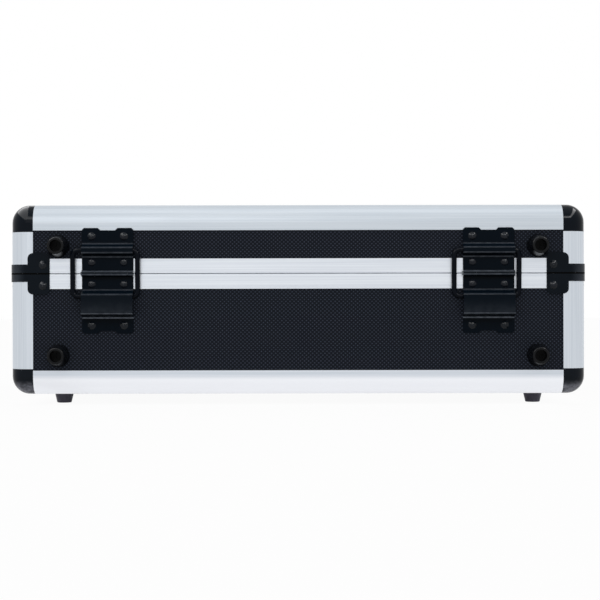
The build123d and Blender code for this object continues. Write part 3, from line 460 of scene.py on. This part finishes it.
def powder_coat_with_painted_highlights(name, bends):
    """Powder coat that is painted paler by a sum over its height: a faint painted sheen low on the
    arch above the flange, and a painted highlight at each bend, all of it times spots that break up the
    lines."""
    material, tree, shader = new_material(name, POWDER_SHADES[0], POWDER_ROUGH[0], Specular_IOR_Level=0.035)
    height = coordinate(tree, 2)
    arch_sheen = add_node(tree, "ShaderNodeMapRange", {"Value": height},
                    ramp(ARCH_SHEEN_SHARE, 0.0, ARCH_SHEEN_FULL, ARCH_SHEEN_FROM), **SMOOTH)
    above_flange = add_node(tree, "ShaderNodeMapRange", {"Value": height},
                            ramp(0.0, 1.0, FLANGE_TOP - MM, FLANGE_TOP), **SMOOTH)
    highlight_sum = add_node(tree, "ShaderNodeMath", {0: arch_sheen, 1: above_flange}, operation="MULTIPLY")
    for bend_mm, share in bends:
        line = add_node(tree, "ShaderNodeMath", {0: height},
                        {1: SEAM_Z + bend_mm * MM, 2: BEND_HALF_WIDTH}, operation="COMPARE")
        highlight_sum = add_node(tree, "ShaderNodeMath", {0: line, 2: highlight_sum}, {1: share}, operation="MULTIPLY_ADD")
    patchy = add_node(tree, "ShaderNodeMapRange", {"Value": spots(tree, HIGHLIGHT_SPOT_MM, 3.0)},
                      ramp(0.6, 1.0, 0.35, 0.65), **SMOOTH)
    painted_highlights = add_node(tree, "ShaderNodeMath", {0: highlight_sum, 1: patchy}, operation="MULTIPLY")
    coat = add_node(tree, "ShaderNodeMix", {"Factor": spots(tree, POWDER_SPOT_MM, 3.0)},
                    pair(*POWDER_SHADES), **IN_COLOUR)
    sheen = add_node(tree, "ShaderNodeMapRange", {"Value": painted_highlights}, ramp(*POWDER_ROUGH), **SMOOTH)
    feed(tree, shader, spots(tree, ORANGE_PEEL_MM), ORANGE_PEEL_RELIEF_MM, Base_Color=coat,
         Roughness=sheen)
    # The painted highlights and sheen: a pale grey mixed in by their share.
    recolour(material, painted_highlights, "#6A7079")
    return material


# The leaves: satin black whose pressed arches are drawn by painted highlights, narrow grey lines at every
# bend.
leaf_coat = powder_coat_with_painted_highlights("steel powder coated, worn at its bends", LEAF_BEND_HIGHLIGHTS_MM)
print("worn bends:", len(LEAF_BEND_HIGHLIGHTS_MM))

# %% [markdown]
# Each CAD part keeps its shape and gets its finish by name. A bar's finish follows the way it
# runs, and a panel's follows the way it faces.

# %% Finishes on the CAD parts
parts_by_finish = (
    (sill_metal[0], ("bottom_edge_front", "bottom_edge_rear")),
    (sill_metal[1], ("bottom_edge_left", "bottom_edge_right")),
    (edge_metal[0], ("top_edge_front", "top_edge_rear")),
    (edge_metal[1], ("top_edge_left", "top_edge_right")),
    (post_metal, ("base_posts", "lid_posts")),
    (rim_metal[0], ("base_rim_front", "base_rim_rear", "lid_rim_front", "lid_rim_rear")),
    (rim_metal[1], ("base_rim_sides", "lid_rim_sides")),
    (laminate["wall_y"], ("base_panel_front", "base_panel_rear", "lid_panel_front", "lid_panel_rear")),
    (laminate["wall_x"], ("base_panel_left", "base_panel_right", "lid_panel_left", "lid_panel_right")),
    (laminate["level"], ("floor_panel", "top_panel")),
    (base_cap, ("base_corner_caps",)),
    (lid_cap, ("lid_corner_caps",)),
    (bracket_coat, ("base_seam_brackets", "lid_seam_brackets")),
    (rivet_coat, ("base_rivets", "lid_rivets")),
    (leaf_coat, ("hinge_base_leaves", "hinge_lid_leaf_left", "hinge_lid_leaf_right")),
    (lacquered_wire, ("stay_left", "stay_right", "handle_bar")),
    (powder_coat, ("latch_plates", "latch_keepers", "latch_lever_left", "latch_lever_right",
                   "latch_hook_left", "latch_hook_right", "handle_brackets")),
    (zinc_steel, ("hinge_pins", "latch_pivot_pins", "latch_hook_pin_left", "latch_hook_pin_right")),
    (screw_coat, ("base_foot_screws", "lid_foot_screws")),
    (foot_rubber, ("base_rear_feet", "lid_rear_feet")),
    (scuffed_rubber, ("bottom_feet",)),
    (grip_rubber, ("handle_grip",)),
)
finishes = {name: finish for finish, names in parts_by_finish for name in names}
for name, finish in finishes.items():
    for material_slot in nodes[name].material_slots:
        material_slot.material = finish
print("finished parts:", len(finishes), "still plain:", sorted(set(nodes) - set(finishes)))

# %% [markdown]
# The lining is soft polyurethane foam, cut with a knife: dull, charcoal grey, full of tiny open
# cells, with edges that the cut leaves a little round. Cells half a millimetre wide are too fine
# to show from this far, so they are drawn about three times as coarse. A Voronoi pattern gives each
# cell a dark middle and a paler wall around it.

# %% Foam material
FOAM_CELL = 1.6 * MM
FOAM_RELIEF_MM = 0.5

# The foam: a dry, speckled charcoal that swallows the light between its bumps.
foam_stuff, foam_tree, foam_shader = new_material("polyurethane foam, charcoal", "#24262B", 0.95,
                                                  Specular_IOR_Level=0.1, Sheen_Weight=0.15)
foam_place = add_node(foam_tree, "ShaderNodeTexCoord", output="Object")
cell_walls = add_node(foam_tree, "ShaderNodeTexVoronoi", {"Vector": foam_place}, {"Scale": 1 / FOAM_CELL})
speckle = add_node(foam_tree, "ShaderNodeMix", {"Factor": cell_walls}, pair("#15161A", "#34363C"),
                   **IN_COLOUR)
feed(foam_tree, foam_shader, cell_walls, FOAM_RELIEF_MM, Base_Color=speckle)
print("foam cells are drawn", round(FOAM_CELL / MM, 1), "mm wide")

# %% [markdown]
# Every foam part is a closed mesh in the space of its plain block, so two helpers serve all three:
# one reads the middle and the half size of a block, and one turns points and faces into a piece.
# The first part is the lid's foam, of the egg-crate kind: rows of round bumps that press on knobs
# and faders without holding them. Its lower face is a height map, and two crossed cosines give a
# bump at each peak and a hollow between. Near the border the bumps fade out to a straight edge.

# %% Height of the egg-crate face
BUMP_PITCH = 28 * MM
BUMP_DEPTH = 9 * MM
BUMP_SHARPNESS = 1.3
BORDER = 6 * MM


def middle_and_half(node):
    """Middle and half size of a CAD node's box, as arrays."""
    low, high = (np.array(corner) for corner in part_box(node))
    return (low + high) / 2, (high - low) / 2


def foam_piece(name, points, faces):
    """A smooth piece of foam from an array of points, three numbers each, and a list of faces."""
    mesh = bpy.data.meshes.new(name)
    mesh.from_pydata(points.reshape(-1, 3).tolist(), [], faces)
    mesh.validate()
    mesh.materials.append(foam_stuff)
    mesh.shade_smooth()
    made = bpy.data.objects.new(name, mesh)
    bpy.context.scene.collection.objects.link(made)
    return made


def crate_height(x, y, half):
    """How far the face hangs down, from 0 to 1: half plus half the product of two crossed cosines,
    raised to a power that narrows the bumps, times the root of how far in from the pad's edge it is,
    as a share of the border's width and 1 at most."""
    crossed = np.cos(2 * math.pi * x / BUMP_PITCH) * np.cos(2 * math.pi * y / BUMP_PITCH)
    edge = np.minimum(half[0] - np.abs(x), half[1] - np.abs(y))
    return (0.5 + 0.5 * crossed) ** BUMP_SHARPNESS * np.sqrt(np.clip(edge / BORDER, 0, 1))


crate_middle, crate_half = middle_and_half("foam_lid_pad")
print("middle bump hangs", round(BUMP_DEPTH / MM * float(crate_height(0.0, 0.0, crate_half)), 1), "mm")

# %% [markdown]
# The egg-crate skin is two grids over the same places in plan, the bumpy face below and the flat
# face above, and a band of faces that joins them all round. Each grid is one array, its faces are
# made by shifting an array of point numbers, and the upper face is turned over to point outwards.

# %% Egg-crate foam in the lid
CRATE_STEP = 3.2 * MM


def crate_skin():
    """A closed box of quads whose lower face follows the height map and whose upper face is flat."""
    count = [int(round(2 * half / CRATE_STEP)) for half in crate_half[:2]]
    across = [np.linspace(-half, half, n + 1) for half, n in zip(crate_half[:2], count)]
    x, y = np.meshgrid(*across, indexing="ij")
    low = -crate_half[2] + BUMP_DEPTH * (1 - crate_height(x, y, crate_half))
    points = np.stack([np.stack([x, y, low], axis=-1),
                       np.stack([x, y, np.full_like(x, crate_half[2])], axis=-1)]) + crate_middle
    index = np.arange(x.size).reshape(x.shape)
    cells = np.stack([index[:-1, :-1], index[:-1, 1:], index[1:, 1:], index[1:, :-1]],
                     axis=-1).reshape(-1, 4)
    rim = np.concatenate([index[:-1, 0], index[-1, :-1], index[:0:-1, -1], index[0, :0:-1]])
    after = np.roll(rim, -1)
    band = np.stack([rim, after, after + x.size, rim + x.size], axis=-1)
    faces = np.concatenate([cells, cells[:, ::-1] + x.size, band])
    return foam_piece("foam_egg_crate", points, faces.tolist())


egg_crate = crate_skin()
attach(egg_crate, "lid")
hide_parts("foam_lid_pad")
print("egg-crate faces:", len(egg_crate.data.polygons))

# %% [markdown]
# The base's two foam parts are skins over rings: one way round an outline, the other way from ring
# to ring. Such a skin is closed round the outline, and either closed again from the last ring to the
# first, as on a frame, or ended by a cap at both ends, as on a pad. The outlines are rectangles
# with rounded corners. They all have the same number of points, so ring can join ring.


# %% Rounded outlines and skins over rings
def rounded_outline(half_x, half_y, radius, per_side=24, per_corner=6):
    """Rounded rectangle, anticlockwise: quarter circles at its corners, joined by straight sides."""
    corner = np.linspace(0, math.pi / 2, per_corner)
    parts = []
    for turn, (sx, sy) in enumerate(((1, 1), (-1, 1), (-1, -1), (1, -1))):
        angle = corner + turn * math.pi / 2
        centre = np.array([sx * (half_x - radius), sy * (half_y - radius)])
        arc = centre + radius * np.stack([np.cos(angle), np.sin(angle)], axis=-1)
        step_x, step_y = ((-1, 0), (0, -1), (1, 0), (0, 1))[turn]
        length = 2 * (half_x - radius) if step_x else 2 * (half_y - radius)
        run = np.linspace(0, length, per_side + 2)[1:-1]
        parts += [arc, arc[-1] + run[:, None] * np.array([step_x, step_y])]
    return np.concatenate(parts)


def ring_skin(name, outlines, heights, middle, ring_closed):
    """Quads from ring to ring: each ring is an outline at its own height, around a middle."""
    rings = np.array([np.column_stack([outline, np.full(len(outline), height)])
                      for outline, height in zip(outlines, heights)]) + middle
    count, points = rings.shape[:2]
    ring, point = np.meshgrid(np.arange(count if ring_closed else count - 1), np.arange(points),
                              indexing="ij")
    after, beside = (ring + 1) % count, (point + 1) % points
    faces = np.stack([ring * points + point, ring * points + beside,
                      after * points + beside, after * points + point], axis=-1).reshape(-1, 4).tolist()
    if not ring_closed:
        faces.append(list(range(points))[::-1])
        faces.append(list(range((count - 1) * points, count * points)))
    return foam_piece(name, rings, faces)


print("outline points:", len(rounded_outline(1.0, 1.0, 0.1)))

# %% [markdown]
# The base pad is a plain sheet of foam under the frame. The knife leaves its edges round. Its skin
# is a stack of rings: an edge is a quarter circle, so a ring is drawn in by the radius times one
# less the cosine, and stands off the face by the radius times one less the sine. Four more rings
# lead over the flat upper face towards the middle. The sheet is an eighth of a millimetre thinner on
# each side than its block, so it lies clear of the floor panel and of the frame.

# %% Base pad
EDGE_ROUND = 3 * MM
FACE_PLAY = 0.125 * MM
STEPS_TO_MIDDLE = np.array([0.1, 0.3, 0.6, 0.9])
EDGE_TURN = np.linspace(0, math.pi / 2, 6)
edge_in = EDGE_ROUND * (1 - np.cos(EDGE_TURN))
edge_off = EDGE_ROUND * (1 - np.sin(EDGE_TURN))


def pad_skin(name, node):
    """A slab with rounded edges: rings round the lower edge, round the upper edge, then inwards."""
    middle, half = middle_and_half(node)
    face = half[2] - FACE_PLAY
    drawn_in = np.concatenate([edge_in[::-1], edge_in, EDGE_ROUND + STEPS_TO_MIDDLE * half[1]])
    heights = np.concatenate([-face + edge_off[::-1], face - edge_off,
                              np.full(len(STEPS_TO_MIDDLE), face)])
    outlines = [rounded_outline(half[0] - gap, half[1] - gap, EDGE_ROUND) for gap in drawn_in]
    return ring_skin(name, outlines, heights, middle, ring_closed=False)


base_sheet = pad_skin("foam_base_sheet", "foam_base_pad")
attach(base_sheet, "base")
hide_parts("foam_base_pad")
print("pad faces:", len(base_sheet.data.polygons))

# %% [markdown]
# The mixer sits in a frame of foam with a rectangular pocket. The section of the frame is carried
# round as rings again: over the outer rounded edge, across the flat top, over the inner rounded
# edge, down the pocket's wall, along the underside, and up the outer wall to the first ring.

# %% Mixer frame
POCKET_HALF = (176 * MM, 138.5 * MM)
POCKET_RADIUS = 10 * MM
TOP_RINGS = 5


def frame_skin(name, node):
    """A frame of foam whose rings go from the outer outline to the pocket's outline and back. A ring
    on the top is the outer outline moved a share of the way to the inner one."""
    middle, half = middle_and_half(node)
    outer = rounded_outline(half[0], half[1], POCKET_RADIUS)
    inner = rounded_outline(*POCKET_HALF, POCKET_RADIUS)
    width = np.linalg.norm(outer - inner, axis=1, keepdims=True)
    inward = (inner - outer) / width
    top_shares = np.linspace(0, 1, TOP_RINGS + 2)[1:-1]
    outlines = [outer + gap * inward for gap in edge_in]
    outlines += [outer + inward * (EDGE_ROUND + share * (width - 2 * EDGE_ROUND)) for share in top_shares]
    outlines += [inner - gap * inward for gap in edge_in[::-1]] + [inner, outer]
    heights = np.concatenate([half[2] - edge_off, np.full(TOP_RINGS, half[2]), half[2] - edge_off[::-1],
                              [-half[2], -half[2]]])
    return ring_skin(name, outlines, heights, middle, ring_closed=True)


mixer_frame = frame_skin("foam_mixer_frame", "foam_frame")
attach(mixer_frame, "base")
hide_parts("foam_frame")
print("frame faces:", len(mixer_frame.data.polygons))

# %% [markdown]
# The case stands on a white floor, as in a catalogue. The floor glows white to the camera and to
# what mirrors it or shows it through, but still takes the case's shadow, because the glow doesn't
# quite cover its own matt surface. Light that falls on the case gets none of that glow.

# %% Floor
FLOOR_HALF = 6.0
FLOOR_GLOW = 0.95
PAPER_FLECK_MM = 40.0


def seen_directly(tree):
    """1 for what the camera, a mirroring surface or clear glass shows, and 0 for falling light."""
    seen = add_node(tree, "ShaderNodeLightPath", output="Is Camera Ray")
    for kind in ("Is Glossy Ray", "Is Transmission Ray"):
        ray = add_node(tree, "ShaderNodeLightPath", output=kind)
        seen = add_node(tree, "ShaderNodeMath", {0: seen, 1: ray}, operation="MAXIMUM")
    return seen


def white_floor():
    """A square sheet of matt paper, mixed with a white glow where it is seen directly."""
    corners = [(x * FLOOR_HALF, y * FLOOR_HALF, 0) for x, y in ((-1, -1), (1, -1), (1, 1), (-1, 1))]
    mesh = bpy.data.meshes.new("studio_floor")
    mesh.from_pydata(corners, [], [(0, 1, 2, 3)])
    floor = bpy.data.objects.new("studio_floor", mesh)
    bpy.context.scene.collection.objects.link(floor)
    # Matt paper: white without a sheen, so nothing but the case's shadow draws the floor.
    material, tree, shader = new_material("paper backdrop, matt white", "#F4F4F4", 0.9,
                                          Specular_IOR_Level=0.0)
    mesh.materials.append(material)
    paper = add_node(tree, "ShaderNodeMix", {"Factor": spots(tree, PAPER_FLECK_MM)},
                     pair("#F1F1F1", "#F7F7F7"), **IN_COLOUR)
    tree.links.new(paper, shader.inputs["Base Color"])
    share = add_node(tree, "ShaderNodeMath", {0: seen_directly(tree)}, {1: FLOOR_GLOW},
                     operation="MULTIPLY")
    glow = add_node(tree, "ShaderNodeEmission", values={"Color": (1.0, 1.0, 1.0, 1.0), "Strength": 1.0})
    mixed = add_node(tree, "ShaderNodeMixShader", {"Fac": share, 1: shader.outputs[0], 2: glow})
    tree.links.new(mixed, tree.nodes["Material Output"].inputs["Surface"])
    return floor


studio_floor = white_floor()
print("floor:", 2 * FLOOR_HALF, "m wide")

# %% [markdown]
# The world around is plain white to the camera and to what metal mirrors, and a little less as
# lighting, so that colours render about as they are written.

# %% World
DAYLIGHT = 0.66

world = bpy.data.worlds.new("studio")
bpy.context.scene.world = world
world.use_nodes = True
sky = world.node_tree
background = sky.nodes["Background"]
background.inputs["Color"].default_value = (1.0, 1.0, 1.0, 1.0)
level = add_node(sky, "ShaderNodeMapRange", {"Value": seen_directly(sky)}, ramp(DAYLIGHT, 1.0), **SMOOTH)
sky.links.new(level, background.inputs["Strength"])
bpy.context.scene.view_settings.view_transform = "Standard"
print("daylight:", DAYLIGHT)

# %% [markdown]
# Two broad soft lights do the modelling, at a level that adds little to the daylight, so that the
# aluminium stays under white. Black lacquer needs the opposite: it returns a hundredth or less of
# what it mirrors, so only strong lamps draw its highlights. A photographer flags such lamps off the
# metal, and light linking does the same here: they reach the black hardware alone. Seen from the
# back, a long softbox beyond the left end shows as a fan in the round caps, and two smaller boxes
# draw their outline on the right.


# %% Lamps
def soft_lamp(name, place, aim, size, watts):
    """A rectangular lamp at a place, turned so that its light falls towards the point aimed at."""
    data = bpy.data.lights.new(name, "AREA")
    data.shape = "RECTANGLE"
    data.size, data.size_y = size
    data.energy = watts
    lamp = bpy.data.objects.new(name, data)
    lamp.visible_camera = False
    line = np.array(aim) - np.array(place)
    yaw = math.atan2(line[1], line[0]) - math.pi / 2
    pitch = math.atan2(math.hypot(line[0], line[1]), -line[2])
    lamp.rotation_euler = (pitch, 0.0, yaw)
    lamp.location = place
    bpy.context.scene.collection.objects.link(lamp)
    return lamp


case_middle = tuple((low + high) / 2 for low, high in zip(*cad_box))
broad_lamps = [
    soft_lamp("lamp_above", (0.0, 0.35, 1.3), case_middle, (1.6, 0.9), 1.2),
    soft_lamp("lamp_behind_camera", (0.5, 1.9, 0.9), case_middle, (1.0, 1.0), 2.4),
]
# The softbox and the strips hang at one height and face down.
BOX_HEIGHT = 0.75
hardware_lamps = [
    soft_lamp("lamp_on_hardware", (0.1, 1.15, 1.05), case_middle, (0.3, 0.14), 3.2),
    soft_lamp("softbox_left", (0.69, 0.474, BOX_HEIGHT), (0.69, 0.475, 0.0), (0.66, 2.25), 26.0),
    soft_lamp("strip_right", (-0.665, 0.499, BOX_HEIGHT), (-0.665, 0.5, 0.0), (0.18, 1.4), 9.0),
    soft_lamp("strip_front", (-0.37, 1.149, BOX_HEIGHT), (-0.37, 1.15, 0.0), (0.6, 0.4), 9.0),
]

hardware = bpy.data.collections.new("black hardware")
dark_finishes = (lid_cap, base_cap, powder_coat, bracket_coat, leaf_coat, lacquered_wire, rivet_coat,
                 foot_rubber)
for name, finish in finishes.items():
    if finish in dark_finishes:
        hardware.objects.link(nodes[name])
for lamp in hardware_lamps:
    lamp.light_linking.receiver_collection = hardware
